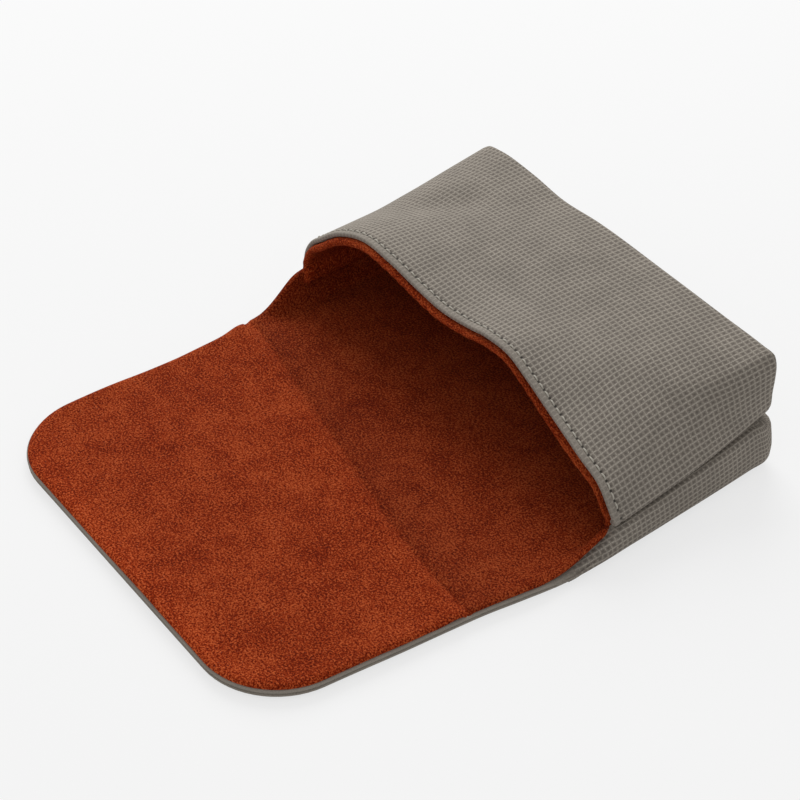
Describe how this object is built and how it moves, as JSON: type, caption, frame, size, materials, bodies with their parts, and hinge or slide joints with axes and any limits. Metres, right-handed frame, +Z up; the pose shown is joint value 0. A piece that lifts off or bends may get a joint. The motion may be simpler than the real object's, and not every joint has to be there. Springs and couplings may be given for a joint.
{
  "type": "camera pouch",
  "caption": "Soft padded pouch lying on its back with an arched open mouth and a wide fold-over flap laid flat, grey checked cloth outside and suede lining.",
  "frame": {"origin": "middle of the back panel's flat outer face, which the pouch lies on", "axes": "+X along the mouth, +Y from the mouth to the closed bottom with the open flap towards -Y, +Z up out of the back panel"},
  "size_m": [0.136, 0.1713, 0.0375],
  "materials": {
    "outer_cloth": "matt warm-grey cloth with a small woven check",
    "suede_lining": "rust-coloured napped suede cloth",
    "foam": "soft closed-cell foam sheet, hidden",
    "magnet": "nickel-plated disc, hidden",
    "thread": "grey polyester sewing thread"
  },
  "bodies": {
    "pouch": {"back_outer": "outer_cloth", "back_padding": "foam", "back_lining": "suede_lining", "front_outer": "outer_cloth", "front_padding": "foam", "front_lining": "suede_lining", "seam_allowance": "outer_cloth", "front_magnet": "magnet", "base_fold_cloth": "outer_cloth"},
    "flap_spine": {"spine_outer": "outer_cloth", "spine_padding": "foam", "spine_lining": "suede_lining", "front_fold_cloth": "outer_cloth"},
    "flap_front": {"flap_outer": "outer_cloth", "flap_padding": "foam", "flap_lining": "suede_lining", "flap_magnet": "magnet"}
  },
  "joints": [
    {"name": "base_fold", "type": "hinge", "parent": "pouch", "child": "flap_spine", "pos_m": [0, -0.0385, 0.0043], "axis": [-1, 0, 0], "range_deg": [0, 90], "deforming": ["base_fold_cloth"]},
    {"name": "front_fold", "type": "hinge", "parent": "flap_spine", "child": "flap_front", "pos_m": [0, -0.075, 0.0043], "axis": [-1, 0, 0], "range_deg": [0, 93], "deforming": ["front_fold_cloth"]}
  ]
}
